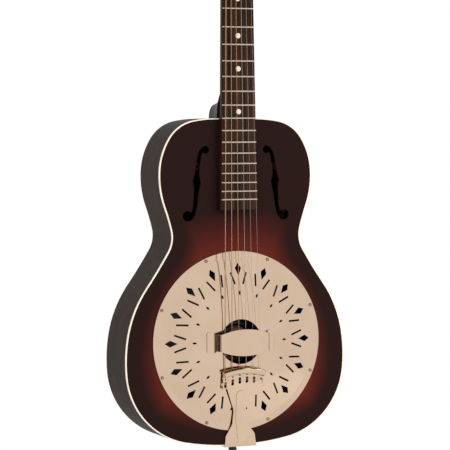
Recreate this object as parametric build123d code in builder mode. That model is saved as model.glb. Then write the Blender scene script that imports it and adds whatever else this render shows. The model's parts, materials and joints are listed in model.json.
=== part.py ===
"""Twelve-fret resonator guitar: wooden body, spun cone under a pressed cover plate.

Millimetres.  +Z runs up the neck, +X to the treble side, the soundboard faces -Y.
The origin is where the nut's front edge meets the centreline and the soundboard's plane.
"""
import os
from math import asin, cos, degrees, pi, radians, sin

from build123d import *

# Driving dimensions
scale_length = 632.5
nut_spacing = 34.5
bridge_spacing = 54.4
body_length = 475.0
body_depth_neck = 74.5
body_depth_tail = 84.5
top_thickness = 4.5
back_thickness = 3.5
side_thickness = 2.5
binding_width = 1.5
binding_height = 3.0
lining_width = 6.0
lining_height = 12.0
compensation = 6.2

cover_radius = 130.4
cover_sheet = 1.2
dome_radius = 121.0
dome_height = 14.5
cover_hole_radius = 32.5
opening_radius = 121.5
cone_radius = 120.6
cone_seat_depth = 26.0
string_height_bridge = 20.4
string_height_nut = 8.2

nut_width = 44.5
board_taper = 0.0271
board_thickness = 6.2
fret_count = 20
fret_crown = 1.1
board_past_last_fret = 15.0
board_height_nut = 6.5
neck_slope = 0.01043

head_angle = 13.0
head_length = 176.0
head_thickness = 13.5
veneer_thickness = 2.0
post_spacing = 35.0
first_post = 50.0
post_offset = 20.0

# Places that follow from them
body_top_z = -scale_length / 2
cone_z = -(scale_length + compensation)
body_end_z = body_top_z - body_length
last_fret_z = -scale_length * (1 - 2 ** (-fret_count / 12))
board_end = last_fret_z - board_past_last_fret
back_tilt = degrees(asin((body_depth_tail - body_depth_neck) / body_length))
inner_inset = side_thickness
lining_inset = side_thickness + lining_width

neck_tilt = degrees(asin(neck_slope))
neck_plane = Plane(
    origin=(0, -board_height_nut, 0),
    x_dir=(1, 0, 0),
    z_dir=(0, -cos(radians(neck_tilt)), sin(radians(neck_tilt))),
)
cover_axis = Axis((0, 0, cone_z), (0, 1, 0))
cover_section = Plane(origin=(0, 0, cone_z), x_dir=(1, 0, 0), z_dir=(0, 0, -1))
cover_front = Plane(origin=(0, 0, cone_z), x_dir=(1, 0, 0), z_dir=(0, -1, 0))

os.makedirs("parts", exist_ok=True)


def save(piece, name):
    """Label a finished piece and write its STEP file."""
    piece.label = name
    export_step(piece, f"parts/{name}.step")


def depth_plane(depth):
    """Plane parallel to the soundboard, this far behind it, facing the player's audience."""
    return Plane(origin=(0, depth, 0), x_dir=(1, 0, 0), z_dir=(0, -1, 0))


def back_plane(inset=0.0):
    """Outer face of the flat back, or a plane this far inside it, facing out of the back."""
    tilt = radians(back_tilt)
    normal = Vector(0, cos(tilt), sin(tilt))
    start = Vector(0, body_depth_neck, body_top_z)
    return Plane(origin=start - normal * inset, x_dir=(1, 0, 0), z_dir=normal)


# Body outline: flat where the neck joins, shoulder, upper bout, waist, lower bout, tail.
# Tangent arcs join these points, each (half width, distance from the neck end).
neck_flat = 32.0
outline_points = [
    (66.9, -3.3),
    (103.8, -28.2),
    (119.1, -75.3),
    (111.2, -127.9),
    (101.3, -160.4),
    (105.9, -191),
    (139.4, -242.1),
    (168.7, -312.1),
    (170.8, -368.1),
    (146.1, -428.1),
    (79.4, -467.9),
    (0, -body_length),
]
widest = 345.0


def body_outline(inset=0.0):
    """Face of the body's front view, taken in by inset, in the soundboard's plane."""
    with BuildSketch(Plane.XZ) as outline:
        with BuildLine():
            edge = Line((0, body_top_z), (neck_flat, body_top_z))
            for x, z in outline_points:
                edge = TangentArc(edge @ 1, (x, z + body_top_z), tangent=edge % 1)
            mirror(about=Plane.YZ)
        make_face()
        if inset:
            offset(amount=-inset)
    return outline.sketch


outer = body_outline()
bound = body_outline(binding_width)
inner = body_outline(inner_inset)
lined = body_outline(lining_inset)
deep = body_depth_tail + 5


def slab(face, near, far, mode=Mode.ADD):
    """Extrude a face of the soundboard's plane so that it fills near to far behind it."""
    return extrude(face.moved(Location((0, far, 0))), amount=far - near, mode=mode)


# Sound holes: one f-hole each side of the fingerboard, for the treble side.
f_outer_edge = [(47.8, -39.5), (55.5, -44), (61.3, -60), (64, -76), (68.2, -89)]
f_outer_foot = [(68.2, -89), (66, -101), (66.6, -113), (67.4, -126), (70, -134)]
f_inner_foot = [(75.9, -147.7), (68.6, -145.2), (63.4, -136), (60.6, -122), (58, -106), (54.8, -92)]
f_inner_edge = [(54.8, -92), (57.4, -76), (55.4, -61), (52.6, -50), (47.8, -45)]


def f_hole():
    """Face of one f-hole, with its two round eyes."""
    with BuildSketch(Plane.XZ) as hole:
        with BuildLine():
            Spline(*[(x, z + body_top_z) for x, z in f_outer_edge])
            Spline(*[(x, z + body_top_z) for x, z in f_outer_foot])
            Line((70, -134 + body_top_z), (75.9, -147.7 + body_top_z))
            Spline(*[(x, z + body_top_z) for x, z in f_inner_foot])
            Spline(*[(x, z + body_top_z) for x, z in f_inner_edge])
            Line((47.8, -45 + body_top_z), (47.8, -39.5 + body_top_z))
        make_face()
        with Locations((47.8, -45.1 + body_top_z)):
            Circle(5.6)
        with Locations((75.9, -140.2 + body_top_z)):
            Circle(7.5)
    return hole.sketch


with BuildPart() as body_top:
    slab(bound, 0, binding_height)
    slab(outer, binding_height, top_thickness)
    with BuildSketch(depth_plane(top_thickness)):
        with Locations((0, cone_z)):
            Circle(opening_radius)
    extrude(amount=top_thickness, mode=Mode.SUBTRACT)
    hole = f_hole().moved(Location((0, top_thickness, 0)))
    extrude(hole, amount=top_thickness, mode=Mode.SUBTRACT)
    extrude(mirror(hole, about=Plane.YZ, mode=Mode.PRIVATE), amount=top_thickness, mode=Mode.SUBTRACT)
save(body_top.part, "body_top")

# Cream edge binding let into a rebate round the edge of the soundboard.
with BuildPart() as top_binding:
    slab(outer, 0, binding_height)
    slab(bound, 0, binding_height, mode=Mode.SUBTRACT)
save(top_binding.part, "top_binding")

# Flat back, glued on under the sides and leaning back towards the tail.
with BuildPart() as body_back:
    slab(outer, 0, deep)
    split(bisect_by=back_plane(), keep=Keep.BOTTOM)
    split(bisect_by=back_plane(back_thickness), keep=Keep.TOP)
save(body_back.part, "body_back")

# Two bent sides, joined on the centreline at the neck and at the tail.
bolt_depths = (28.0, 54.0)
bolt_hole_radius = 3.2
end_pin_depth = 18.0
end_pin_radius = 4.5
with BuildPart() as rim:
    slab(outer, top_thickness, deep)
    slab(inner, top_thickness, deep, mode=Mode.SUBTRACT)
    split(bisect_by=back_plane(back_thickness), keep=Keep.BOTTOM)
    with Locations(*[(0, depth, body_top_z) for depth in bolt_depths]):
        Cylinder(bolt_hole_radius, 4 * side_thickness, mode=Mode.SUBTRACT)
    with Locations((0, end_pin_depth, body_end_z)):
        Cylinder(end_pin_radius, 4 * side_thickness, mode=Mode.SUBTRACT)
for name, kept in (("side_bass", Keep.BOTTOM), ("side_treble", Keep.TOP)):
    with BuildPart() as side:
        add(rim.part)
        split(bisect_by=Plane.YZ, keep=kept)
    save(side.part, name)

# Inside the body: blocks, linings, ladder braces and the well that carries the cone.
neck_block_size = (72.0, 34.0)
tail_block_size = (64.0, 22.0)
with BuildPart() as neck_block:
    slab(inner, top_thickness, deep)
    with Locations((0, deep / 2, body_top_z)):
        Box(neck_block_size[0], 2 * deep, 2 * neck_block_size[1], mode=Mode.INTERSECT)
    split(bisect_by=back_plane(back_thickness), keep=Keep.BOTTOM)
    with Locations(*[(0, depth, body_top_z) for depth in bolt_depths]):
        Cylinder(bolt_hole_radius, 3 * neck_block_size[1], mode=Mode.SUBTRACT)
save(neck_block.part, "neck_block")

with BuildPart() as tail_block:
    slab(inner, top_thickness, deep)
    with Locations((0, deep / 2, body_end_z)):
        Box(tail_block_size[0], 2 * deep, 2 * tail_block_size[1], mode=Mode.INTERSECT)
    split(bisect_by=back_plane(back_thickness), keep=Keep.BOTTOM)
    with Locations((0, end_pin_depth, body_end_z)):
        Cylinder(end_pin_radius, 3 * tail_block_size[1], mode=Mode.SUBTRACT)
save(tail_block.part, "tail_block")


def clear_blocks():
    """Cut away the room of the neck and tail blocks from the part being built."""
    with Locations((0, deep / 2, body_top_z)):
        Box(neck_block_size[0], 2 * deep, 2 * neck_block_size[1], mode=Mode.SUBTRACT)
    with Locations((0, deep / 2, body_end_z)):
        Box(tail_block_size[0], 2 * deep, 2 * tail_block_size[1], mode=Mode.SUBTRACT)


with BuildPart() as top_lining:
    slab(inner, top_thickness, top_thickness + lining_height)
    slab(lined, top_thickness, top_thickness + lining_height, mode=Mode.SUBTRACT)
    clear_blocks()
save(top_lining.part, "top_lining")

with BuildPart() as back_lining:
    slab(inner, top_thickness, deep)
    slab(lined, top_thickness, deep, mode=Mode.SUBTRACT)
    split(bisect_by=back_plane(back_thickness), keep=Keep.BOTTOM)
    split(bisect_by=back_plane(back_thickness + lining_height), keep=Keep.TOP)
    clear_blocks()
save(back_lining.part, "back_lining")

well_wall = 8.0
well_ledge = 9.0
ledge_thickness = 6.0
with BuildPart() as soundwell:
    with BuildSketch(cover_section):
        wall_low = -cone_seat_depth - ledge_thickness
        with Locations((opening_radius, wall_low)):
            Rectangle(well_wall, -top_thickness - wall_low, align=(Align.MIN, Align.MIN))
        with Locations((opening_radius, wall_low)):
            Rectangle(well_ledge, ledge_thickness, align=(Align.MAX, Align.MIN))
    revolve(axis=cover_axis)
save(soundwell.part, "soundwell")

post_radius = 7.0
well_post_circle = opening_radius + well_wall / 2
with BuildPart() as soundwell_posts:
    with BuildSketch(depth_plane(deep)):
        with Locations((0, cone_z)):
            with PolarLocations(well_post_circle, 6):
                Circle(post_radius)
    extrude(amount=deep - cone_seat_depth - ledge_thickness)
    split(bisect_by=back_plane(back_thickness), keep=Keep.BOTTOM)
save(soundwell_posts.part, "soundwell_posts")

# Ladder braces, each (distance from the neck end, width, height), and the reach to each side of
# the soundboard's braces: the first stays between the f-holes.
top_brace_list = [(-92, 8, 13, 36), (-162, 8, 13, body_length)]
back_brace_list = [(-70, 10, 14), (-170, 10, 14), (-268, 12, 16), (-376, 12, 16)]
with BuildPart() as top_braces:
    for z, wide, high, reach in top_brace_list:
        with Locations((0, top_thickness + high / 2, z + body_top_z)):
            Box(2 * reach, high, wide)
    slab(lined, 0, deep, mode=Mode.INTERSECT)
save(top_braces.part, "top_braces")

back_wood = []
for z, wide, high in back_brace_list:
    with BuildPart() as back_brace:
        with Locations((0, deep / 2, z + body_top_z)):
            Box(widest, 2 * deep, wide)
        split(bisect_by=back_plane(back_thickness), keep=Keep.BOTTOM)
        split(bisect_by=back_plane(back_thickness + high), keep=Keep.TOP)
        slab(lined, 0, deep, mode=Mode.INTERSECT)
        with BuildSketch(depth_plane(deep)):
            with Locations((0, cone_z)):
                with PolarLocations(well_post_circle, 6):
                    Circle(post_radius + 1)
        extrude(amount=deep, mode=Mode.SUBTRACT)
    back_wood.append(back_brace.part)
save(Compound(children=back_wood), "back_braces")

# Neck, in the neck's own plane: x across, y up the neck, depth behind the board's surface.
up_neck = neck_plane.y_dir


def neck_cut(distance):
    """Plane square to the neck at this distance from the nut; its y runs to the back."""
    return Plane(origin=neck_plane.from_local_coords((0, distance, 0)), x_dir=(1, 0, 0), z_dir=up_neck)


def board_half_width(distance):
    """Half the fingerboard's width, this far down from the nut."""
    return nut_width / 2 + board_taper / 2 * distance


def neck_section(distance, thick):
    """Rounded cross-section of the neck under the fingerboard, this far down from the nut."""
    half = board_half_width(distance)
    shoulder = board_thickness + 0.8
    with BuildSketch(neck_cut(-distance)) as section:
        with BuildLine():
            Polyline((-half, shoulder), (-half, board_thickness), (half, board_thickness), (half, shoulder))
            Spline(
                (half, shoulder),
                (0, board_thickness + thick),
                (-half, shoulder),
                tangents=[(-0.45, 1), (-0.45, -1)],
            )
        make_face()
    return section.sketch


def heel_section(depth, half, high):
    """Rounded outline of the heel at this depth behind the soundboard."""
    with BuildSketch(depth_plane(depth)) as section:
        with BuildLine():
            Line((-half, body_top_z), (half, body_top_z))
            Spline(
                (half, body_top_z),
                (0, body_top_z + high),
                (-half, body_top_z),
                tangents=[(0, 1), (0, -1)],
            )
        make_face()
    return section.sketch


nut_thickness = 5.5
head_lean = radians(head_angle + neck_tilt)
head_plane = Plane(
    origin=neck_plane.from_local_coords((0, nut_thickness, -board_thickness)),
    x_dir=(1, 0, 0),
    z_dir=(0, -cos(head_lean), sin(head_lean)),
)
head_half_low = 29.5
head_half_high = 35.5
post_places = [first_post + post_spacing * row for row in range(3)]
plate_ends = (first_post - 24, first_post + 2 * post_spacing + 20)
plate_screw_rows = [plate_ends[0] + 4, first_post + 17, first_post + 52, plate_ends[1] - 5]
plate_screw_places = [(side * post_offset, row) for side in (-1, 1) for row in plate_screw_rows]
plate_screw_radius = 1.2
cover_screw_places = [(-8.3, 4.2), (8.3, 4.2), (0, 31)]
cover_screw_radius = 0.9


def head_outline():
    """Face of the headstock's front view, in the headstock's plane."""
    with BuildSketch(head_plane) as outline:
        with BuildLine():
            low_corner = (board_half_width(0), 0)
            cheek = (head_half_low, 26)
            top_corner = (head_half_high, head_length - 15)
            Line((0, 0), low_corner)
            Spline(low_corner, cheek, tangents=[(0.5, 1), (0.045, 1)])
            Line(cheek, top_corner)
            Spline(top_corner, (0, head_length), tangents=[(-0.6, 1), (-1, 0)])
            mirror(about=Plane.YZ)
        make_face()
    return outline.sketch


# Heel outlines, each (depth behind the soundboard, half width, height above the body).
heel_outlines = [(11, 25.6, 50), (22, 23, 36), (40, 18.5, 27), (67, 15, 21.8)]
shaft_sections = [(-nut_thickness, 14.5), (150, 15.6), (262, 17), (330, 18)]
neck_bolt_radius = 3.0
neck_bolt_reach = 16.0
rod_radius = 3.0
rod_depth = board_thickness + 5.2
rod_length = 318.0
rod_top = 19.0
ferrule_radius = 5.0
with BuildPart() as neck:
    loft([neck_section(distance, thick) for distance, thick in shaft_sections])
    loft([heel_section(*outline) for outline in heel_outlines])
    split(bisect_by=Plane.XY.offset(body_top_z), keep=Keep.TOP)
    extrude(head_outline(), amount=-head_thickness)
    with Locations(*[(0, depth, body_top_z) for depth in bolt_depths]):
        Cylinder(neck_bolt_radius, 2 * neck_bolt_reach, mode=Mode.SUBTRACT)
    with Locations(neck_plane):
        with Locations((0, rod_top + 1, -board_thickness)):
            Box(7, rod_length, 9, align=(Align.CENTER, Align.MAX, Align.MAX), mode=Mode.SUBTRACT)
    with Locations(head_plane):
        with Locations((0, 0.3, 4)):
            Box(13, 24, 15, align=(Align.CENTER, Align.MIN, Align.MAX), mode=Mode.SUBTRACT)
    with BuildSketch(head_plane):
        with Locations(*[(side * post_offset, row) for side in (-1, 1) for row in post_places]):
            Circle(ferrule_radius)
    extrude(amount=-head_thickness, mode=Mode.SUBTRACT)
    with BuildSketch(head_plane.offset(-head_thickness)):
        with Locations(*plate_screw_places):
            Circle(plate_screw_radius)
    extrude(amount=8, mode=Mode.SUBTRACT)
    with BuildSketch(head_plane):
        with Locations(*cover_screw_places):
            Circle(cover_screw_radius)
    extrude(amount=-6, mode=Mode.SUBTRACT)
save(neck.part, "neck")

with BuildPart() as headstock_veneer:
    extrude(head_outline(), amount=veneer_thickness)
    with Locations(head_plane):
        with Locations((0, 0.3, 4)):
            Box(13, 24, 15, align=(Align.CENTER, Align.MIN, Align.MAX), mode=Mode.SUBTRACT)
    with BuildSketch(head_plane):
        with Locations(*[(side * post_offset, row) for side in (-1, 1) for row in post_places]):
            Circle(ferrule_radius)
        with Locations(*cover_screw_places):
            Circle(cover_screw_radius)
    extrude(amount=veneer_thickness, mode=Mode.SUBTRACT)
save(headstock_veneer.part, "headstock_veneer")

# Fingerboard, its raised end carried on a wedge over the soundboard.
marker_frets = (3, 5, 7, 9, 12)
marker_radius = 3.8
marker_thickness = 1.5


def fret_distance(number):
    """Distance of a fret from the nut."""
    return scale_length * (1 - 2 ** (-number / 12))


marker_distances = [(fret_distance(n - 1) + fret_distance(n)) / 2 for n in marker_frets]
with BuildPart() as fretboard:
    with BuildSketch(neck_plane):
        with BuildLine():
            low = board_half_width(-board_end)
            high = board_half_width(0)
            Polyline((-high, 0), (high, 0), (low, board_end), (-low, board_end), close=True)
        make_face()
    extrude(amount=-board_thickness)
    with Locations(neck_plane):
        with Locations(*[(0, -distance) for distance in marker_distances]):
            Cylinder(marker_radius, 2 * marker_thickness, mode=Mode.SUBTRACT)
save(fretboard.part, "fretboard")

with BuildPart() as position_dots:
    with BuildSketch(neck_plane):
        with Locations(*[(0, -distance) for distance in marker_distances]):
            Circle(marker_radius)
    extrude(amount=-marker_thickness)
save(position_dots.part, "position_dots")

with BuildPart() as frets:
    for number in range(1, fret_count + 1):
        distance = fret_distance(number)
        with Locations(neck_plane):
            with Locations((0, -distance)):
                Cylinder(fret_crown, 2 * board_half_width(distance) - 0.6, rotation=(0, 90, 0))
    split(bisect_by=neck_plane, keep=Keep.TOP)
save(frets.part, "frets")

with BuildPart() as fretboard_wedge:
    with BuildSketch(neck_plane.offset(-board_thickness)):
        with BuildLine():
            Polyline((-high, 0), (high, 0), (low, board_end), (-low, board_end), close=True)
        make_face()
    extrude(amount=-10)
    split(bisect_by=Plane.XZ, keep=Keep.TOP)
    split(bisect_by=Plane.XY.offset(body_top_z), keep=Keep.BOTTOM)
save(fretboard_wedge.part, "fretboard_wedge")

# Strings: diameters from the low E, three wound and three plain.
string_diameters = [1.35, 1.07, 0.81, 0.61, 0.43, 0.33]
string_count = len(string_diameters)


def string_place(number, spacing):
    """Sideways place of a string where the outer two stand this far apart."""
    return (number / (string_count - 1) - 0.5) * spacing


string_nut_height = string_height_nut - board_height_nut
post_radius_head = 3.0
string_exit_height = 6.0


def nut_contact(number):
    """Where a string's centreline crosses the nut's front edge."""
    return Vector(string_place(number, nut_spacing), -string_height_nut, 0)


def post_contact(number):
    """Where a string's centreline meets the inner side of its tuning post."""
    row = number if number < 3 else string_count - 1 - number
    side = -1 if number < 3 else 1
    across = post_offset - post_radius_head - string_diameters[number] / 2 - 0.05
    return Vector(
        *head_plane.from_local_coords((side * across, post_places[row], veneer_thickness + string_exit_height))
    )


with BuildPart() as nut:
    with Locations(neck_plane):
        with Locations((0, 0, -board_thickness)):
            Box(
                nut_width - 0.6,
                nut_thickness,
                board_thickness + string_nut_height + 0.7,
                align=(Align.CENTER, Align.MIN, Align.MIN),
            )
    top_edges = nut.edges().filter_by(Axis.X).group_by(Axis.Y)[0]
    fillet(top_edges, 1.2)
    for number, diameter in enumerate(string_diameters):
        run = post_contact(number) - nut_contact(number)
        with BuildSketch(Plane(origin=nut_contact(number), x_dir=(1, 0, 0), z_dir=run)):
            Circle(diameter / 2 + 0.1)
            Rectangle(diameter + 0.2, 4, align=(Align.CENTER, Align.MAX))
        extrude(amount=2 * nut_thickness, both=True, mode=Mode.SUBTRACT)
save(nut.part, "nut")

# Truss rod under the fingerboard; its nut turns in a pocket behind the headstock cover.
rod_end = neck_plane.from_local_coords((0, rod_top, -rod_depth))
truss_nut_start = 7.5
truss_nut_length = 9.5
with BuildPart() as truss_rod:
    with BuildSketch(Plane(origin=rod_end, x_dir=(1, 0, 0), z_dir=up_neck)):
        Circle(rod_radius)
    extrude(amount=-(rod_length - 6))
save(truss_rod.part, "truss_rod")

truss_nut_base = neck_plane.from_local_coords((0, truss_nut_start, -rod_depth))
with BuildPart() as truss_rod_nut:
    with BuildSketch(Plane(origin=truss_nut_base, x_dir=(1, 0, 0), z_dir=up_neck)):
        RegularPolygon(4.2, 6)
        Circle(rod_radius + 0.06, mode=Mode.SUBTRACT)
    extrude(amount=truss_nut_length)
save(truss_rod_nut.part, "truss_rod_nut")

rod_cover_thickness = 2.0
veneer_front = head_plane.offset(veneer_thickness)
with BuildPart() as truss_rod_cover:
    with BuildSketch(veneer_front):
        with BuildLine():
            Line((0, 0.8), (10.5, 0.8))
            Spline((10.5, 0.8), (7.6, 18), (5.2, 30), (0, 36), tangents=[(0, 1), (-1, 0)])
            mirror(about=Plane.YZ)
        make_face()
        with Locations(*cover_screw_places):
            Circle(cover_screw_radius, mode=Mode.SUBTRACT)
    extrude(amount=rod_cover_thickness)
save(truss_rod_cover.part, "truss_rod_cover")

with BuildPart() as truss_cover_screws:
    with BuildSketch(veneer_front.offset(rod_cover_thickness)):
        with Locations(*cover_screw_places):
            Circle(1.7)
    extrude(amount=0.8)
    with BuildSketch(veneer_front.offset(rod_cover_thickness)):
        with Locations(*cover_screw_places):
            Circle(cover_screw_radius)
    extrude(amount=-8)
    with BuildSketch(veneer_front.offset(rod_cover_thickness + 0.8)):
        with Locations(*cover_screw_places):
            Rectangle(4, 0.5)
    extrude(amount=-0.4, mode=Mode.SUBTRACT)
save(truss_cover_screws.part, "truss_cover_screws")

with BuildPart() as neck_bolts:
    with Locations(*[(0, depth, body_top_z) for depth in bolt_depths]):
        Cylinder(
            neck_bolt_radius,
            neck_block_size[1] + neck_bolt_reach - 1,
            align=(Align.CENTER, Align.CENTER, Align.MAX),
        )
        Cylinder(neck_bolt_radius, neck_bolt_reach - 1, align=(Align.CENTER, Align.CENTER, Align.MIN))
    with Locations(*[(0, depth, body_top_z - neck_block_size[1] - 0.05) for depth in bolt_depths]):
        Cylinder(8, 1.5, align=(Align.CENTER, Align.CENTER, Align.MAX))
    with BuildSketch(Plane.XY.offset(body_top_z - neck_block_size[1] - 1.5)):
        with Locations(*[(0, depth) for depth in bolt_depths]):
            RegularPolygon(5.5, 6)
    extrude(amount=-4)
save(neck_bolts.part, "neck_bolts")

# Resonator: a spun cone on the ledge of the well, with the biscuit bridge on its top.
cone_sheet = 0.6
cone_top_radius = 21.0
cone_top_height = -3.0
screw_hole_radius = 2.0
cone_profile = [
    (screw_hole_radius, cone_top_height),
    (cone_top_radius, cone_top_height),
    (cone_top_radius + 4, cone_top_height - 2.2),
    (112, -cone_seat_depth + 1.6),
    (115, -cone_seat_depth),
    (cone_radius, -cone_seat_depth),
]
with BuildPart() as cone:
    with BuildSketch(cover_section):
        with BuildLine():
            upper = [(x, y + cone_sheet) for x, y in cone_profile]
            Polyline(*cone_profile, *reversed(upper), close=True)
        make_face()
    revolve(axis=cover_axis)
save(cone.part, "cone")

biscuit_radius = 19.0
biscuit_thickness = 6.5
biscuit_base = cone_top_height + cone_sheet
biscuit_top = biscuit_base + biscuit_thickness
saddle_thickness = 2.6
saddle_slot_depth = 3.0
saddle_half_length = 30.5
with BuildPart() as biscuit:
    with BuildSketch(cover_front.offset(biscuit_base)):
        Circle(biscuit_radius)
        Circle(screw_hole_radius, mode=Mode.SUBTRACT)
    extrude(amount=biscuit_thickness)
    chamfer(biscuit.edges().filter_by(GeomType.CIRCLE).group_by(Axis.Y)[0].sort_by(SortBy.RADIUS)[-1], 0.8)
    with Locations((0, -biscuit_top, cone_z)):
        Box(2 * biscuit_radius + 2, 2 * saddle_slot_depth, saddle_thickness, mode=Mode.SUBTRACT)
save(biscuit.part, "biscuit")

thickest = max(string_diameters) / 2
with BuildPart() as saddle:
    with BuildSketch(Plane(origin=(0, 0, cone_z - saddle_thickness / 2), x_dir=(1, 0, 0), z_dir=(0, 0, -1))):
        with BuildLine():
            slot_floor = biscuit_top - saddle_slot_depth
            crown = string_height_bridge - thickest
            Polyline(
                (0, slot_floor),
                (biscuit_radius - 1, slot_floor),
                (biscuit_radius - 1, biscuit_top + 1.5),
                (saddle_half_length, crown - 7),
                (saddle_half_length, crown - 0.4),
                (0, crown),
            )
            mirror(about=Plane.YZ)
        make_face()
    extrude(amount=-saddle_thickness)
save(saddle.part, "saddle")

with BuildPart() as biscuit_screw:
    with BuildSketch(cover_front.offset(cone_top_height)):
        Circle(5)
    extrude(amount=-2.4)
    with BuildSketch(cover_front.offset(cone_top_height)):
        Circle(screw_hole_radius)
    extrude(amount=cone_sheet + 3)
save(biscuit_screw.part, "biscuit_screw")

# Pressed cover plate: flat rim, domed middle, round hole, sixteen pierced sunrays.
ray_count = 16
screw_count = 8
screw_circle = 126.5
dome_ball = (dome_radius**2 - cover_hole_radius**2) / (2 * (dome_height - cover_sheet))
kite = [(95, 0), (106, 4.9), (113.5, 0), (106, -4.9)]
slit_size = (18.0, 2.7)
slit_lean = 20.0
slit_place = (91.4, 9.2)
lozenge = [(66.6, 0), (70.4, 1.8), (74.2, 0), (70.4, -1.8)]


def dome_surface(radius):
    """Height of the cover plate's outer face over the soundboard at this radius."""
    return dome_height - (radius**2 - cover_hole_radius**2) / (2 * dome_ball)


with BuildPart() as cover_plate:
    with BuildSketch(cover_section):
        with BuildLine():
            steps = [cover_hole_radius, 55, 78, 100, dome_radius]
            outer_line = [(r, dome_surface(r)) for r in steps]
            inner_line = [(r, dome_surface(r) - cover_sheet) for r in steps]
            Spline(*outer_line)
            Polyline(outer_line[-1], (cover_radius, cover_sheet), (cover_radius, 0), inner_line[-1])
            Spline(*inner_line)
            Line(inner_line[0], outer_line[0])
        make_face()
    revolve(axis=cover_axis)
    with BuildSketch(cover_front):
        with PolarLocations(0, ray_count, start_angle=90):
            Polygon(*kite, align=None)
            Polygon(*lozenge, align=None)
            for side in (-1, 1):
                with Locations((slit_place[0], side * slit_place[1])):
                    Rectangle(*slit_size, rotation=side * slit_lean)
        with PolarLocations(screw_circle, screw_count, start_angle=22.5):
            Circle(1.7)
    extrude(amount=2 * dome_height, mode=Mode.SUBTRACT)
save(cover_plate.part, "cover_plate")

with BuildPart() as cover_plate_screws:
    with BuildSketch(cover_front.offset(cover_sheet)):
        with PolarLocations(screw_circle, screw_count, start_angle=22.5):
            Circle(2.5)
    extrude(amount=1.5)
    fillet(cover_plate_screws.edges().group_by(Axis.Y)[0], 1.1)
    with BuildSketch(cover_front.offset(cover_sheet)):
        with PolarLocations(screw_circle, screw_count, start_angle=22.5):
            Circle(1.7)
    extrude(amount=-cover_sheet)
save(cover_plate_screws.part, "cover_plate_screws")

# Palm rest: one bent strap that bridges the hole, spot-welded to the dome by its two feet.
rest_half_width = 37.2
rest_foot_inner = 41.5
rest_foot_outer = 52.0
rest_height = 32.5
rest_sheet = 1.6
rest_bend = 3.0
rest_half_waist = 11.9
rest_half_belly = 19.2
rest_foot_half = 16.0
foot_height = dome_surface(rest_foot_inner) + 0.05
with BuildPart() as palm_rest:
    with BuildSketch(Plane(origin=(0, 0, cone_z), x_dir=(1, 0, 0), z_dir=(0, 0, -1))):
        with BuildLine() as strap:
            half_strap = [
                (rest_foot_outer, foot_height + rest_sheet / 2 - 0.9),
                (rest_foot_inner, foot_height + rest_sheet / 2),
                (rest_half_width, rest_height - rest_sheet / 2),
            ]
            other_half = [(-across, height) for across, height in reversed(half_strap)]
            FilletPolyline(*half_strap, *other_half, radius=rest_bend)
            offset(strap.line, amount=rest_sheet / 2, side=Side.BOTH, mode=Mode.REPLACE)
        make_face()
    extrude(amount=rest_half_belly + 1, both=True)
    with BuildSketch(cover_front) as strap_shape:
        with BuildLine():
            corner = (rest_half_width + 0.9, rest_half_waist)
            ThreePointArc((-corner[0], corner[1]), (0, rest_half_belly), corner)
            ThreePointArc((-corner[0], -corner[1]), (0, -rest_half_belly), (corner[0], -corner[1]))
            Line(corner, (corner[0], -corner[1]))
            Line((-corner[0], corner[1]), (-corner[0], -corner[1]))
        make_face()
        Rectangle(2 * rest_foot_inner, 2 * rest_half_waist)
        for side in (-1, 1):
            with Locations((side * (rest_foot_inner + rest_foot_outer) / 2, 0)):
                RectangleRounded(rest_foot_outer - rest_foot_inner + 1.6, 2 * rest_foot_half, 4.5)
    extrude(amount=2 * rest_height, mode=Mode.INTERSECT)
save(palm_rest.part, "palm_rest")

# Tailpiece: one stamping from the rolled bar over the strings to the flap on the tail, with six
# eyes for the ball ends and a pressed rib up the middle of its stem.
tail_sheet = 1.6
roll_radius = 4.8
roll_drop = 44.0
roll_bow = 4.8
roll_half_length = 31.5
tail_head_height = 16.9
tail_edge = cone_z - body_end_z
tail_under = [(roll_drop, tail_head_height), (58, 16.7), (70, 14.4), (100, 8.0), (126, 3.2), (140, 0.6)]
tail_flap_depth = 32.0
tail_shift = 2.2
keyhole_drop = 52.5
keyhole_bow = 0.68
string_pitch_tail = 11.2
tail_profile = Plane(origin=(0, 0, cone_z), x_dir=(0, -1, 0), z_dir=(-1, 0, 0))
tail_right = [(33.4, -68.5), (19.5, -67), (9.5, -98), (10, -117), (26.5, -136), (29.5, -tail_edge - 3)]
tail_left = [(-20.5, -tail_edge - 3), (-19.2, -138), (-10, -121), (-9.6, -100), (-19, -76), (-22.5, -67)]
tail_head = [(-29.5, -68.5), (-29.3, -36), (33.7, -36)]


def ball_place(number):
    """Sideways place, and drop below the cover's centre, of a string's ball in the tailpiece."""
    bow = keyhole_bow * (number - 3.1) ** 2
    return tail_shift + string_place(number, 5 * string_pitch_tail), keyhole_drop + bow


rib_height = 1.0
rib_places = [(0, -78), (1.5, -112), (6.4, -139.5)]
rib_radius = 7.2
with BuildPart() as tail_rib:
    with BuildSketch(tail_profile):
        with BuildLine():
            rib_under = [(height + 0.5, -drop) for drop, height in tail_under]
            rib_over = [(height + tail_sheet + rib_height, -drop) for drop, height in tail_under]
            Polyline(*rib_under, (0.6, -148), (tail_sheet + rib_height, -148), *reversed(rib_over), close=True)
        make_face()
    extrude(amount=roll_half_length, both=True)
    with BuildSketch(cover_front):
        with BuildLine():
            Polyline(*rib_places)
            offset(amount=rib_radius)
        make_face()
    extrude(amount=60, mode=Mode.INTERSECT)

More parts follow.
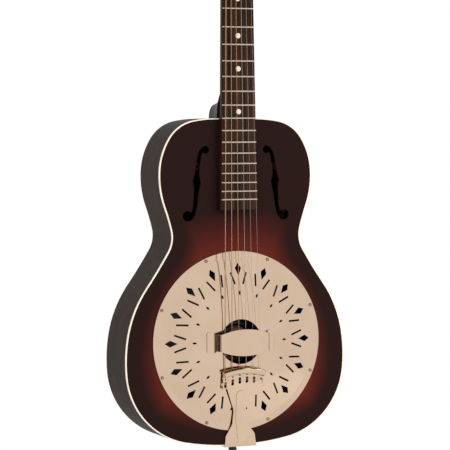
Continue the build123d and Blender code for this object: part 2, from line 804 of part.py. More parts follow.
with BuildPart() as tailpiece:
    with BuildSketch(tail_profile):
        with BuildLine():
            under = [(height, -drop) for drop, height in tail_under] + [(0.05, -tail_edge - 0.3)]
            over = [(height + tail_sheet, place) for height, place in under[:-1]]
            corner = (tail_sheet, -tail_edge - 0.3 - tail_sheet)
            flap = [(-tail_flap_depth, under[-1][1]), (-tail_flap_depth, corner[1]), (0.4, corner[1])]
            bend = (corner[0], corner[1] + 1.2)
            Polyline(*under, *flap, bend, *reversed(over), close=True)
        make_face()
    extrude(amount=2 * roll_half_length, both=True)
    with BuildSketch(cover_front) as tail_outline:
        with BuildLine():
            Polyline(*tail_right, *tail_left, *tail_head, close=True)
        make_face()
        fillet([corner for corner in tail_outline.vertices() if -tail_edge < corner.Y < -70], 12)
    extrude(amount=60, both=True, mode=Mode.INTERSECT)
    add(tail_rib.part)
    with BuildLine() as roll_path:
        roll_height = -(tail_head_height + roll_radius)
        ends_z = cone_z - roll_drop - roll_bow / 2
        ThreePointArc(
            (tail_shift - roll_half_length, roll_height, ends_z),
            (tail_shift, roll_height, ends_z + roll_bow),
            (tail_shift + roll_half_length, roll_height, ends_z),
        )
    with BuildSketch(Plane(origin=roll_path.line @ 0, x_dir=(0, 1, 0), z_dir=roll_path.line % 0)):
        Circle(roll_radius)
    sweep(path=roll_path.line)
    with BuildSketch(cover_front):
        for place, drop in [ball_place(number) for number in range(string_count)]:
            for below, radius in [(-5.3, 1.2), (0, 2.2), (2.4, 1.8), (5.0, 2.3)]:
                with Locations((place, -drop - below)):
                    Circle(radius)
    extrude(amount=40, mode=Mode.SUBTRACT)
    with BuildSketch(Plane.XY.offset(body_end_z)):
        with Locations((0, end_pin_depth)):
            Circle(end_pin_radius)
    extrude(amount=-8, mode=Mode.SUBTRACT)
save(tailpiece.part, "tailpiece")

# Tapered end pin pushed through the flap into the tail block.
pin_flange = -tail_edge - 0.3 - tail_sheet
with BuildPart() as end_pin:
    with BuildSketch(Plane(origin=(0, end_pin_depth, cone_z), x_dir=(1, 0, 0), z_dir=(0, -1, 0))):
        with BuildLine():
            Polyline(
                (0, -tail_edge + side_thickness + 17),
                (end_pin_radius - 0.4, -tail_edge + side_thickness + 17),
                (end_pin_radius, -tail_edge + side_thickness),
                (end_pin_radius, pin_flange),
                (4.6, pin_flange),
                (4.9, pin_flange - 2),
                (6.4, pin_flange - 5.4),
                (5.7, pin_flange - 7.6),
                (0, pin_flange - 8.6),
                close=True,
            )
        make_face()
    revolve(axis=Axis((0, end_pin_depth, cone_z), (0, 0, 1)))
save(end_pin.part, "end_pin")

# Strings, each from its ball in the tailpiece, under the roll, over saddle and nut, to its post.
under_roll_height = 15.7
ball_height = 15.8
ball_radius = 2.0
ball_length = 3.2


def string_route(number):
    """Points of a string's line, from the ball in the tailpiece to the tuning post."""
    tail_x, drop = ball_place(number)
    bow = roll_bow * (1 - ((tail_x - tail_shift) / roll_half_length) ** 2)
    start = Vector(tail_x, -ball_height, cone_z - drop + ball_radius + 0.02)
    dip = Vector(tail_x, -under_roll_height, cone_z - roll_drop + bow - roll_bow / 2 + 3)
    over_saddle = Vector(string_place(number, bridge_spacing), -string_height_bridge, cone_z)
    return [start, dip, over_saddle, nut_contact(number), post_contact(number)]


def string_solid(number):
    """One string: a round wire swept along straight runs with small bends between them."""
    route = string_route(number)
    with BuildPart() as wire:
        with BuildLine() as line:
            FilletPolyline(*route, radius=6)
        with BuildSketch(Plane(origin=line.line @ 0, z_dir=line.line % 0)):
            Circle(string_diameters[number] / 2)
        sweep(path=line.line)
    return wire.part


with BuildPart() as strings_wound:
    add([string_solid(number) for number in range(3)])
save(strings_wound.part, "strings_wound")
with BuildPart() as strings_plain:
    add([string_solid(number) for number in range(3, string_count)])
save(strings_plain.part, "strings_plain")

with BuildPart() as ball_ends:
    for tail_x, drop in [ball_place(number) for number in range(string_count)]:
        with Locations((tail_x, -ball_height, cone_z - drop)):
            Cylinder(ball_radius, ball_length, rotation=(90, 0, 0))
            Cylinder(0.8, 2 * ball_length, rotation=(90, 0, 0), mode=Mode.SUBTRACT)
save(ball_ends.part, "ball_ends")

# Tuning machines: three open gears on a plate, each side of the head's back.
post_radius_bore = post_radius_head + 0.06
wheel_teeth = 14
gear_module = 0.8
wheel_radius = wheel_teeth * gear_module / 2
wheel_near = 2.9
wheel_far = 7.9
worm_depth = 5.4
worm_drop = 8.75
worm_radius = worm_drop - wheel_radius
worm_lead = pi * gear_module
shaft_radius = 1.5
lug_places = (-6.95, 6.95)
lug_size = (1.5, 6.4, 7.3)
plate_thickness = 1.2
post_above_veneer = 14.0
button_gap = 20.0
button_bore_depth = 5.0


def tuner_place(number):
    """Side and row of the post that takes this string."""
    if number < 3:
        return -1, post_places[number]
    return 1, post_places[string_count - 1 - number]


def tuner_plane(number, behind=0.0):
    """Plane across a post's axis, this far behind the head's back face, facing the front."""
    side, row = tuner_place(number)
    return Plane(
        origin=head_plane.from_local_coords((side * post_offset, row, -head_thickness - behind)),
        x_dir=(1, 0, 0),
        z_dir=head_plane.z_dir,
    )


def worm_plane(number):
    """Plane across a worm's axis at its middle; its y runs away from the gear wheel."""
    origin = tuner_plane(number, worm_depth).from_local_coords((0, -worm_drop, 0))
    return Plane(origin=origin, x_dir=head_plane.z_dir, z_dir=(1, 0, 0))


with BuildPart() as tuner_plates:
    with BuildSketch(head_plane.offset(-head_thickness)):
        middle = sum(plate_ends) / 2
        with Locations((-post_offset, middle), (post_offset, middle)):
            RectangleRounded(16, plate_ends[1] - plate_ends[0], 4)
        with Locations(*plate_screw_places):
            Circle(plate_screw_radius, mode=Mode.SUBTRACT)
        with Locations(*[(side * post_offset, row) for side in (-1, 1) for row in post_places]):
            Circle(post_radius_bore, mode=Mode.SUBTRACT)
    extrude(amount=-plate_thickness)
    for number in range(string_count):
        with Locations(tuner_plane(number, plate_thickness)):
            with Locations(*[(place, -worm_drop, 0) for place in lug_places]):
                Box(*lug_size, align=(Align.CENTER, Align.CENTER, Align.MAX))
        with BuildSketch(worm_plane(number)):
            Circle(shaft_radius + 0.05)
        extrude(amount=9, both=True, mode=Mode.SUBTRACT)
save(tuner_plates.part, "tuner_plates")

with BuildPart() as tuner_plate_screws:
    with BuildSketch(head_plane.offset(-head_thickness - plate_thickness)):
        with Locations(*plate_screw_places):
            Circle(2.4)
    extrude(amount=-1.0)
    with BuildSketch(head_plane.offset(-head_thickness - plate_thickness)):
        with Locations(*plate_screw_places):
            Circle(plate_screw_radius)
    extrude(amount=plate_thickness + 7.5)
    with BuildSketch(head_plane.offset(-head_thickness - plate_thickness - 1.0)):
        with Locations(*plate_screw_places):
            Rectangle(6, 0.6)
    extrude(amount=0.5, mode=Mode.SUBTRACT)
save(tuner_plate_screws.part, "tuner_plate_screws")

ferrule_flange = 1.2
with BuildPart() as tuner_ferrules:
    for number in range(string_count):
        with BuildSketch(tuner_plane(number, -head_thickness - veneer_thickness)):
            Circle(7)
        extrude(amount=ferrule_flange)
        with BuildSketch(tuner_plane(number, -head_thickness - veneer_thickness)):
            Circle(ferrule_radius)
        extrude(amount=-9)
    for number in range(string_count):
        with BuildSketch(tuner_plane(number)):
            Circle(post_radius_bore)
        extrude(amount=head_thickness + 10, mode=Mode.SUBTRACT)
save(tuner_ferrules.part, "tuner_ferrules")

with BuildPart() as worm_core:
    with BuildLine() as thread_line:
        Helix(worm_lead, 3.5 * worm_lead, worm_radius)
    with BuildSketch(Plane(origin=thread_line.line @ 0, x_dir=(1, 0, 0), z_dir=thread_line.line % 0)):
        Polygon((-1.25, -0.75), (0, -0.45), (0.65, -0.2), (0.65, 0.2), (0, 0.45), (-1.25, 0.75), align=None)
    sweep(path=thread_line.line, is_frenet=True)
    with Locations((0, 0, 1.75 * worm_lead)):
        Cylinder(2, 2 * lug_places[1] - lug_size[0] - 0.2)

for number in range(string_count):
    side, row = tuner_place(number)
    with BuildPart() as post:
        with BuildSketch(tuner_plane(number, wheel_far)):
            Circle(2)
        extrude(amount=wheel_far - wheel_near)
        with BuildSketch(tuner_plane(number, wheel_near)):
            Circle(post_radius_head)
        extrude(amount=wheel_near + head_thickness + veneer_thickness + post_above_veneer)
        chamfer(post.edges().filter_by(GeomType.CIRCLE).sort_by(Axis.Y)[0], 0.8)
        with BuildSketch(tuner_plane(number, wheel_far)):
            Circle(0.9)
        extrude(amount=4, mode=Mode.SUBTRACT)
        exit_point = tuner_plane(number, -head_thickness - veneer_thickness - string_exit_height).origin
        with BuildSketch(Plane(origin=exit_point, x_dir=(1, 0, 0), z_dir=head_plane.y_dir)):
            Circle(0.8)
        extrude(amount=4, both=True, mode=Mode.SUBTRACT)
    with BuildPart() as wheel:
        with BuildSketch(tuner_plane(number, wheel_far)):
            Circle(wheel_radius + gear_module)
            Circle(2, mode=Mode.SUBTRACT)
            with PolarLocations(0, wheel_teeth, start_angle=-90):
                Polygon(
                    (4.6, -0.35),
                    (5.6, -0.73),
                    (6.6, -1.14),
                    (6.6, 1.14),
                    (5.6, 0.73),
                    (4.6, 0.35),
                    align=None,
                    mode=Mode.SUBTRACT,
                )
        extrude(amount=wheel_far - wheel_near)
    with BuildPart() as wheel_screw:
        with BuildSketch(tuner_plane(number, wheel_far)):
            Circle(2.6)
        extrude(amount=-1.2)
        with BuildSketch(tuner_plane(number, wheel_far)):
            Circle(0.9)
        extrude(amount=3.8)
        with BuildSketch(tuner_plane(number, wheel_far + 1.2)):
            Rectangle(6, 0.7)
        extrude(amount=0.6, mode=Mode.SUBTRACT)
    save(Compound(children=[post.part, wheel.part, wheel_screw.part]), f"tuner_post_{number + 1}")
    with BuildPart() as worm:
        add(worm_core.part.moved(worm_plane(number).location * Location((0, 0, -1.75 * worm_lead))))
        with BuildSketch(worm_plane(number).offset(-side * 8.2)):
            Circle(shaft_radius)
        extrude(amount=side * (8.2 + button_gap + button_bore_depth))
    save(worm.part, f"tuner_worm_{number + 1}")
    with BuildPart() as button:
        centre = (side * (button_gap + 6.5), -worm_drop)
        with BuildSketch(tuner_plane(number, worm_depth + 4)):
            with Locations(centre):
                RectangleRounded(13, 18, 6)
        extrude(amount=8)
        fillet(button.edges().group_by(Axis.Y)[0] + button.edges().group_by(Axis.Y)[-1], 2.6)
        with BuildSketch(worm_plane(number)):
            Circle(shaft_radius)
        extrude(amount=side * (button_gap + button_bore_depth), mode=Mode.SUBTRACT)
    save(button.part, f"tuner_button_{number + 1}")
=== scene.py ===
"""Twelve-fret resonator guitar: finishes, string windings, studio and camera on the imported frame."""
import json
from math import cos, pi, radians, sin

import bpy
from mathutils import Matrix, Vector


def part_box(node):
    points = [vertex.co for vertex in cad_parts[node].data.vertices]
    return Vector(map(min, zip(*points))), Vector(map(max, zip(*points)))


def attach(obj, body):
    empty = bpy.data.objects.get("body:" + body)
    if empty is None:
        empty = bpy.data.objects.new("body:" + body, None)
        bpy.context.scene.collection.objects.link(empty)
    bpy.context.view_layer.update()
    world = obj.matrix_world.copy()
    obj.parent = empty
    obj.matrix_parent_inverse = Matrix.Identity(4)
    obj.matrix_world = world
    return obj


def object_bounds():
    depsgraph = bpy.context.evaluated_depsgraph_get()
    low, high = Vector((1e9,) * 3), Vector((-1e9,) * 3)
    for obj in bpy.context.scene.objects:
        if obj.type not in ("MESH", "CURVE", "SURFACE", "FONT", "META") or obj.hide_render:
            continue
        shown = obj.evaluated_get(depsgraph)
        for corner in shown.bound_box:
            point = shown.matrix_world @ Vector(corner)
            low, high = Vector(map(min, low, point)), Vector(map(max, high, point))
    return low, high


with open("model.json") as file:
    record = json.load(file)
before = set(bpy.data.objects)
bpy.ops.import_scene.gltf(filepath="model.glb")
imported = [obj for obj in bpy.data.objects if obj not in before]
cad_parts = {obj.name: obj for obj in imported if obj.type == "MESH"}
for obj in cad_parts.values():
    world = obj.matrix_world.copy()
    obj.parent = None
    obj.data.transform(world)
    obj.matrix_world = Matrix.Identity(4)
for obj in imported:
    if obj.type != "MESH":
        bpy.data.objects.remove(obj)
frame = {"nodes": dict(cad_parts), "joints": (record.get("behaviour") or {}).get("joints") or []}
nodes = frame["nodes"]
cad_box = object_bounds()

# Camera: a long lens in front of the bass side, a little above the cover plate and looking
# slightly down, so that the body's bass side shows as a narrow band.
camera_place = Vector((-1.1683, -2.7345, -0.33945))
turned_right = radians(22.815)
tipped_down = radians(2.524)
rolled = radians(-0.246)
camera = bpy.data.objects.new("camera", bpy.data.cameras.new("camera"))
bpy.context.scene.collection.objects.link(camera)
camera.matrix_world = (
    Matrix.Translation(camera_place)
    @ Matrix.Rotation(-turned_right, 4, "Z")
    @ Matrix.Rotation(radians(90) - tipped_down, 4, "X")
    @ Matrix.Rotation(rolled, 4, "Z")
)
camera.data.sensor_width = 36
camera.data.lens = 164.48
bpy.context.scene.camera = camera

# Studio: a white room, one soft panel high on the right that no reflection shows, and a pale floor
# well below the guitar.  Reflections alone see black cards at the sides and a dark ceiling that is
# bright over the right, which give polished metal its dark and bright stripes.


def linear(hex_colour):
    """The linear RGBA of an sRGB hex colour."""
    parts = [int(hex_colour[at : at + 2], 16) / 255 for at in (1, 3, 5)]
    return tuple(c / 12.92 if c <= 0.04045 else ((c + 0.055) / 1.055) ** 2.4 for c in parts) + (1.0,)


def add_node(tree, kind, values=None, links=None, stops=None, curve=None, **settings):
    """Adds a node with its settings, its input values, its links, and a ramp's stops or a curve's points."""
    made = tree.nodes.new(kind)
    for name, value in settings.items():
        setattr(made, name, value)
    for name, value in (values or {}).items():
        made.inputs[name].default_value = value
    for name, socket in (links or {}).items():
        tree.links.new(socket, made.inputs[name])
    if stops:
        ramp = made.color_ramp.elements
        while len(ramp) < len(stops):
            ramp.new(1.0)
        for element, (place, hex_colour) in zip(ramp, stops):
            element.position = place
            element.color = linear(hex_colour)
    if curve:
        points = made.mapping.curves[0].points
        while len(points) < len(curve):
            points.new(1.0, 1.0)
        for point, place in zip(points, curve):
            point.location = place
        made.mapping.update()
    return made


# Bearings are shares of a full turn from straight behind the guitar: its left as seen from the
# front is 0.25, the front 0.5 and its right 0.75.
side_card_stops = [
    (0.27, "#FFFFFF"), (0.278, "#0C0C0C"), (0.3, "#0C0C0C"), (0.303, "#C8C8C8"), (0.307, "#C8C8C8"),
    (0.31, "#0C0C0C"), (0.334, "#0C0C0C"), (0.342, "#FFFFFF"),
    (0.68, "#FFFFFF"), (0.688, "#141414"), (0.73, "#141414"), (0.738, "#FFFFFF"),
]
# Upward and rightward parts of a direction of length 1: where the ceiling starts, and where it
# turns bright.
ceiling_start, ceiling_full = 0.72, 0.8
bright_start, bright_full = 0.34, 0.42
ceiling_dark, ceiling_bright = 0.02, 2.0
world = bpy.data.worlds.new("white_room")
world.use_nodes = True
room = world.node_tree
place = add_node(room, "ShaderNodeTexCoord")
parts = add_node(room, "ShaderNodeSeparateXYZ", links={"Vector": place.outputs["Generated"]})
forward = add_node(room, "ShaderNodeMath", {1: -1.0}, {0: parts.outputs["Y"]}, operation="MULTIPLY")
bearing = add_node(
    room, "ShaderNodeMath", links={0: parts.outputs["X"], 1: forward.outputs[0]}, operation="ARCTAN2"
)
around = add_node(
    room, "ShaderNodeMapRange", {"From Min": -pi, "From Max": pi}, {"Value": bearing.outputs[0]}
)
side_cards = add_node(
    room,
    "ShaderNodeValToRGB",
    links={"Fac": around.outputs["Result"]},
    stops=side_card_stops,
)
above = add_node(
    room,
    "ShaderNodeMapRange",
    {"From Min": ceiling_start, "From Max": ceiling_full},
    {"Value": parts.outputs["Z"]},
)
ceiling = add_node(
    room,
    "ShaderNodeMapRange",
    {"From Min": bright_start, "From Max": bright_full, "To Min": ceiling_dark, "To Max": ceiling_bright},
    {"Value": parts.outputs["X"]},
)
mirrored = add_node(
    room,
    "ShaderNodeMix",
    links={0: above.outputs["Result"], 6: side_cards.outputs["Color"], 7: ceiling.outputs["Result"]},
    data_type="RGBA",
)
light_path = add_node(room, "ShaderNodeLightPath")
seen = add_node(
    room,
    "ShaderNodeMix",
    {6: linear("#FFFFFF")},
    {0: light_path.outputs["Is Glossy Ray"], 7: mirrored.outputs[2]},
    data_type="RGBA",
)
room.links.new(seen.outputs[2], room.nodes["Background"].inputs["Color"])
bpy.context.scene.world = world
bpy.context.scene.view_settings.view_transform = "Standard"

panel_place = Vector((1.5, -1.5, 0.6))
panel_aim = Vector((0, 0, -0.55))
panel = bpy.data.lights.new("panel_right", "AREA")
panel.shape = "SQUARE"
panel.size = 0.8
panel.energy = 34
lamp = bpy.data.objects.new("panel_right", panel)
bpy.context.scene.collection.objects.link(lamp)
lamp.location = panel_place
lamp.rotation_euler = (panel_aim - panel_place).to_track_quat("-Z", "Y").to_euler()
lamp.visible_glossy = False

floor_drop = 0.45
floor_half = 1.6
floor_z = cad_box[0][2] - floor_drop
floor_mesh = bpy.data.meshes.new("floor")
floor_mesh.from_pydata(
    [(x * floor_half, y * floor_half, floor_z) for x, y in ((-1, -1), (1, -1), (1, 1), (-1, 1))],
    [],
    [(0, 1, 2, 3)],
)
floor = bpy.data.objects.new("floor", floor_mesh)
bpy.context.scene.collection.objects.link(floor)

# Painted floor: matt pale grey paint with the faint unevenness of a rolled coat.  It lies well
# below the guitar, and nothing stands on it.


def new_finish(name, values):
    """A Principled material with these socket values, its node tree and its shader."""
    finish = bpy.data.materials.new(name)
    finish.use_nodes = True
    shader = finish.node_tree.nodes["Principled BSDF"]
    for socket, value in values.items():
        shader.inputs[socket].default_value = value
    return finish, finish.node_tree, shader


floor_paint, tree, shader = new_finish("pale_floor_paint", {"Roughness": 0.7, "Specular IOR Level": 0.2})
place = add_node(tree, "ShaderNodeTexCoord")
coat = add_node(
    tree,
    "ShaderNodeTexNoise",
    {"Scale": 3.0, "Detail": 2.0},
    {"Vector": place.outputs["Object"]},
)
tone = add_node(
    tree,
    "ShaderNodeValToRGB",
    links={"Fac": coat.outputs["Fac"]},
    stops=[(0.3, "#D9D9D7"), (0.7, "#DFDFDD")],
)
tree.links.new(tone.outputs["Color"], shader.inputs["Base Color"])
floor.data.materials.append(floor_paint)

# Soundboard: a thin plate of plywood, stained and sprayed.  The lacquer is satin and covers the
# grain, red-brown round the cover plate and shaded to near black along the edge.


def give(finish, *names):
    """Puts a finish on whole CAD nodes."""
    for name in names:
        for place_in_node in nodes[name].material_slots:
            place_in_node.material = finish


body_length = 0.475
cone_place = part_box("cone")
cone_middle = (Vector(cone_place[0]) + Vector(cone_place[1])) / 2
body_top_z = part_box("body_back")[1][2]
half_width_reach = 0.2
# Half widths of the body by distance from its neck end, and how far the tail's edge has come back
# from the tail by distance from the centreline, in metres.
body_half_widths = [
    (0.0, 0.032), (0.003, 0.067), (0.028, 0.1038), (0.075, 0.1191), (0.128, 0.1112), (0.160, 0.1013),
    (0.191, 0.1059), (0.242, 0.1394), (0.312, 0.1687), (0.368, 0.1708), (0.428, 0.1461), (0.468, 0.0794),
    (0.475, 0.0),
]
tail_curve = [(0.0, 0.0), (0.0794, 0.0071), (0.1461, 0.0469), (0.1708, 0.1069), (0.2, 0.16)]
# Distances in metres from the cover plate's middle where the red ends and is full, and from the
# body's edge where the black shading is full and has gone.
glow_end, glow_full = 0.200, 0.136
shade_full, shade_end = 0.018, 0.052
rim_width = 0.060  # how far in the rim's own darkening reaches
lacquer_edge = [(0.0, "#0E0807"), (0.16, "#150C0A"), (0.4, "#1D0F0D"), (1.0, "#22110E")]
lacquer_glow = [
    (0.0, "#22110E"), (0.15, "#26110E"), (0.3, "#2F130F"), (0.5, "#3B1511"), (0.78, "#4C1A13"),
    (1.0, "#571E15"),
]
sunburst, tree, shader = new_finish(
    "satin_sunburst_lacquer", {"Roughness": 0.4, "Specular IOR Level": 0.06}
)
place = add_node(tree, "ShaderNodeTexCoord")
parts = add_node(tree, "ShaderNodeSeparateXYZ", links={"Vector": place.outputs["Object"]})
across = add_node(tree, "ShaderNodeMath", links={0: parts.outputs["X"]}, operation="ABSOLUTE")
down = add_node(tree, "ShaderNodeMath", {0: body_top_z}, {1: parts.outputs["Z"]}, operation="SUBTRACT")
down_share = add_node(
    tree,
    "ShaderNodeMath",
    {1: body_length},
    {0: down.outputs[0]},
    operation="DIVIDE",
)
width_share = add_node(
    tree,
    "ShaderNodeFloatCurve",
    links={"Value": down_share.outputs[0]},
    curve=[(distance / body_length, width / half_width_reach) for distance, width in body_half_widths],
)
width = add_node(
    tree,
    "ShaderNodeMath",
    {1: half_width_reach},
    {0: width_share.outputs[0]},
    operation="MULTIPLY",
)
side_gap = add_node(
    tree, "ShaderNodeMath", links={0: width.outputs[0], 1: across.outputs[0]}, operation="SUBTRACT"
)
across_share = add_node(
    tree,
    "ShaderNodeMath",
    {1: half_width_reach},
    {0: across.outputs[0]},
    operation="DIVIDE",
)
tail_share = add_node(
    tree,
    "ShaderNodeFloatCurve",
    links={"Value": across_share.outputs[0]},
    curve=[(distance / half_width_reach, rise / half_width_reach) for distance, rise in tail_curve],
)
tail_rise = add_node(
    tree, "ShaderNodeMath", {1: -half_width_reach, 2: body_length}, {0: tail_share.outputs[0]},
    operation="MULTIPLY_ADD",
)
tail_gap = add_node(
    tree, "ShaderNodeMath", links={0: tail_rise.outputs[0], 1: down.outputs[0]}, operation="SUBTRACT"
)
edge_gap = add_node(
    tree, "ShaderNodeMath", links={0: side_gap.outputs[0], 1: tail_gap.outputs[0]}, operation="MINIMUM"
)
from_cover = add_node(
    tree,
    "ShaderNodeVectorMath",
    {1: (0, 0, cone_middle[2])},
    {0: place.outputs["Object"]},
    operation="DISTANCE",
)
cover_share = add_node(
    tree,
    "ShaderNodeMapRange",
    {"From Min": glow_end, "From Max": glow_full},
    {"Value": from_cover.outputs["Value"]},
)
edge_share = add_node(
    tree,
    "ShaderNodeMapRange",
    {"From Min": shade_full, "From Max": shade_end},
    {"Value": edge_gap.outputs[0]},
)
glow = add_node(
    tree, "ShaderNodeMath", links={0: cover_share.outputs["Result"], 1: edge_share.outputs["Result"]},
    operation="MINIMUM",
)
rim_share = add_node(
    tree, "ShaderNodeMapRange", {"From Min": 0.0, "From Max": rim_width}, {"Value": edge_gap.outputs[0]}
)
dark = add_node(
    tree,
    "ShaderNodeValToRGB",
    links={"Fac": rim_share.outputs["Result"]},
    stops=lacquer_edge,
)
red = add_node(tree, "ShaderNodeValToRGB", links={"Fac": glow.outputs[0]}, stops=lacquer_glow)
burst = add_node(
    tree, "ShaderNodeMix", {0: 1.0}, {6: dark.outputs["Color"], 7: red.outputs["Color"]},
    data_type="RGBA", blend_type="LIGHTEN",
)
tree.links.new(burst.outputs[2], shader.inputs["Base Color"])
give(sunburst, "body_top")


# Binding: cream celluloid strip glued into a rebate round the soundboard and scraped flush.
# It is a little yellow and slightly see-through, with a low polish.
celluloid, tree, shader = new_finish(
    "cream_celluloid", {"Roughness": 0.35, "IOR": 1.5, "Subsurface Weight": 0.1, "Subsurface Scale": 0.002}
)
place = add_node(tree, "ShaderNodeTexCoord")
streak = add_node(
    tree,
    "ShaderNodeTexNoise",
    {"Scale": 60.0, "Detail": 3.0},
    {"Vector": place.outputs["Object"]},
)
tone = add_node(
    tree,
    "ShaderNodeValToRGB",
    links={"Fac": streak.outputs["Fac"]},
    stops=[(0.35, "#EBDCC3"), (0.65, "#F6ECDA")],
)
tree.links.new(tone.outputs["Color"], shader.inputs["Base Color"])
give(celluloid, "top_binding")

# Sides and back: thin mahogany-faced plywood, the sides bent over a hot form and the back glued
# flat on their edges.  Dark walnut stain under satin lacquer, with brown grain along each sheet.


def grain(tree, across, along, axis="Z"):
    """Streaks of straight grain: a noise of this many changes per metre across and along the axis."""
    place = add_node(tree, "ShaderNodeTexCoord")
    scale = [along if name == axis else across for name in "XYZ"]
    stretched = add_node(
        tree,
        "ShaderNodeMapping",
        {"Scale": scale},
        {"Vector": place.outputs["Object"]},
    )
    return add_node(
        tree,
        "ShaderNodeTexNoise",
        {"Scale": 1.0, "Detail": 6.0, "Roughness": 0.6},
        {"Vector": stretched.outputs["Vector"]},
    )


stained_ply, tree, shader = new_finish("stained_mahogany_ply", {"Roughness": 0.55, "Specular IOR Level": 0.1})
streak = grain(tree, 220.0, 9.0)
tone = add_node(
    tree,
    "ShaderNodeValToRGB",
    links={"Fac": streak.outputs["Fac"]},
    stops=[(0.3, "#1A0F07"), (0.5, "#27170B"), (0.72, "#362213")],
)
pores = add_node(
    tree, "ShaderNodeBump", {"Strength": 0.25, "Distance": 0.0002}, {"Height": streak.outputs["Fac"]}
)
tree.links.new(tone.outputs["Color"], shader.inputs["Base Color"])
tree.links.new(pores.outputs["Normal"], shader.inputs["Normal"])
give(stained_ply, "side_bass", "side_treble", "body_back")

# Inside of the body: spruce braces, linings and blocks, and the well that carries the cone on its
# posts, all glued in place.  The wood is left bare and dry, and little light reaches it.
bare_spruce, tree, shader = new_finish("bare_spruce", {"Roughness": 0.75})
streak = grain(tree, 400.0, 12.0, "X")
tone = add_node(
    tree,
    "ShaderNodeValToRGB",
    links={"Fac": streak.outputs["Fac"]},
    stops=[(0.35, "#6B5238"), (0.7, "#8C6E4B")],
)
tree.links.new(tone.outputs["Color"], shader.inputs["Base Color"])
give(bare_spruce, "neck_block", "tail_block", "top_lining", "back_lining", "soundwell", "soundwell_posts")
give(bare_spruce, "top_braces", "back_braces")

# Neck: one length of mahogany with its heel and headstock, stained dark and lacquered satin, with
# the wedge under the raised end of the fingerboard cut from the same wood.
stained_neck, tree, shader = new_finish("stained_mahogany", {"Roughness": 0.45, "Specular IOR Level": 0.1})
streak = grain(tree, 300.0, 10.0)
tone = add_node(
    tree,
    "ShaderNodeValToRGB",
    links={"Fac": streak.outputs["Fac"]},
    stops=[(0.3, "#1B1009"), (0.55, "#29190F"), (0.75, "#352216")],
)
tree.links.new(tone.outputs["Color"], shader.inputs["Base Color"])
give(stained_neck, "neck", "fretboard_wedge")

# Headstock face: a dyed hardwood veneer under satin lacquer, black with the grain just showing.
black_veneer, tree, shader = new_finish("black_dyed_veneer", {"Roughness": 0.3, "Specular IOR Level": 0.4})
streak = grain(tree, 400.0, 12.0)
tone = add_node(
    tree,
    "ShaderNodeValToRGB",
    links={"Fac": streak.outputs["Fac"]},
    stops=[(0.35, "#0D0A09"), (0.7, "#1B1512")],
)
tree.links.new(tone.outputs["Color"], shader.inputs["Base Color"])
give(black_veneer, "headstock_veneer")

# Fingerboard: rosewood, sanded fine and oiled.  Nearly black streaks a few millimetres wide run
# along red-brown wood, and the open pores stay visible.
rosewood, tree, shader = new_finish("oiled_rosewood", {"Roughness": 0.5, "Specular IOR Level": 0.12})
streak = grain(tree, 260.0, 5.0)
pore = grain(tree, 1500.0, 60.0)
tone = add_node(
    tree,
    "ShaderNodeValToRGB",
    links={"Fac": streak.outputs["Fac"]},
    stops=[(0.3, "#120A06"), (0.44, "#1F120B"), (0.54, "#352013"), (0.75, "#4A2E1D")],
)
open_pores = add_node(
    tree, "ShaderNodeBump", {"Strength": 0.3, "Distance": 0.0002}, {"Height": pore.outputs["Fac"]}
)
tree.links.new(tone.outputs["Color"], shader.inputs["Base Color"])
tree.links.new(open_pores.outputs["Normal"], shader.inputs["Normal"])
give(rosewood, "fretboard")

# Frets: drawn nickel-silver wire hammered into sawn slots, then crowned and polished.  The metal is
# slightly yellow, and bright along the crown.
rub_low, rub_high = 0.8, 1.3  # shares of a metal's roughness


def brushed_or_polished(name, metal_colour, roughness, mottle, waviness, wave_width):
    """A metal with a slight change of tone and a surface that waves by this much over this width."""
    finish, tree, shader = new_finish(name, {"Metallic": 1.0})
    place = add_node(tree, "ShaderNodeTexCoord")
    patches = add_node(
        tree,
        "ShaderNodeTexNoise",
        {"Scale": 25.0, "Detail": 4.0},
        {"Vector": place.outputs["Object"]},
    )
    tone = add_node(
        tree,
        "ShaderNodeValToRGB",
        links={"Fac": patches.outputs["Fac"]},
        stops=[(0.3, mottle), (0.7, metal_colour)],
    )
    rub = add_node(
        tree,
        "ShaderNodeMapRange",
        {"To Min": roughness * rub_low, "To Max": roughness * rub_high},
        {"Value": patches.outputs["Fac"]},
    )
    waves = add_node(
        tree,
        "ShaderNodeTexNoise",
        {"Scale": 1 / wave_width, "Detail": 1.0},
        {"Vector": place.outputs["Object"]},
    )
    surface = add_node(
        tree,
        "ShaderNodeBump",
        {"Strength": 1.0, "Distance": waviness},
        {"Height": waves.outputs["Fac"]},
    )
    tree.links.new(tone.outputs["Color"], shader.inputs["Base Color"])
    tree.links.new(rub.outputs["Result"], shader.inputs["Roughness"])
    tree.links.new(surface.outputs["Normal"], shader.inputs["Normal"])
    return finish


nickel_silver = brushed_or_polished("polished_nickel_silver", "#DFCEBE", 0.25, "#C8B8A8", 0.00002, 0.004)
give(nickel_silver, "frets")

# Position dots: discs punched from pearl plastic, glued into the board and sanded flush.  They are
# milky with faint swirls.
pearl_plastic, tree, shader = new_finish("pearl_plastic", {"Roughness": 0.25, "IOR": 1.5})
place = add_node(tree, "ShaderNodeTexCoord")
swirl = add_node(
    tree,
    "ShaderNodeTexNoise",
    {"Scale": 350.0, "Detail": 3.0, "Distortion": 1.5},
    {"Vector": place.outputs["Object"]},
)
tone = add_node(
    tree,
    "ShaderNodeValToRGB",
    links={"Fac": swirl.outputs["Fac"]},
    stops=[(0.35, "#D3C5B6"), (0.65, "#E9DDD0")],
)
tree.links.new(tone.outputs["Color"], shader.inputs["Base Color"])
give(pearl_plastic, "position_dots")

